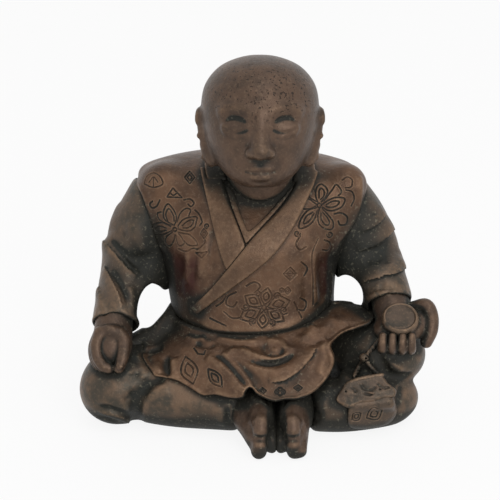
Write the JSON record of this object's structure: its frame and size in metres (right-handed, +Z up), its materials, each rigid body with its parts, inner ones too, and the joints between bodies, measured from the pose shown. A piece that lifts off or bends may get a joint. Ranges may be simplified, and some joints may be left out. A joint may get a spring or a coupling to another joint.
{
  "type": "seated monk figurine",
  "caption": "Cast bronze desk ornament of a bald monk sitting cross-legged in a crossed robe with lotus ornament, fist on the right knee, round toggle with corded pouch in the left hand.",
  "frame": {"origin": "on the ground, in the middle of the figure's box", "axes": "+X to the figure's left, +Y to its back, +Z up"},
  "size_m": [0.0991, 0.0824, 0.1022],
  "materials": {
    "robe_bronze": "brown patina, worn to copper on the edges",
    "sleeve_bronze": "brown patina, smooth",
    "trouser_bronze": "brown patina, smooth",
    "collar_bronze": "dark brown patina",
    "skin_bronze": "dark brown patina with casting pits",
    "trinket_bronze": "dark brown patina with worn edges",
    "peg_bronze": "bare, as cut"
  },
  "bodies": {
    "root": {"seat": "robe_bronze", "torso": "robe_bronze", "lap_drape": "robe_bronze", "right_sleeve": "sleeve_bronze", "left_sleeve": "sleeve_bronze", "right_leg": "trouser_bronze", "left_leg": "trouser_bronze", "left_collar_band": "collar_bronze", "right_collar_band": "collar_bronze", "inner_collar": "collar_bronze", "head": "skin_bronze", "right_hand": "skin_bronze", "left_hand": "skin_bronze", "right_foot": "skin_bronze", "left_foot": "skin_bronze", "netsuke": "trinket_bronze", "cord": "trinket_bronze", "bead": "trinket_bronze", "pouch": "trinket_bronze", "pouch_flap": "trinket_bronze", "neck_peg": "peg_bronze", "waist_pegs": "peg_bronze", "shoulder_pegs": "peg_bronze", "wrist_pegs": "peg_bronze", "ankle_pegs": "peg_bronze"}
  },
  "joints": []
}
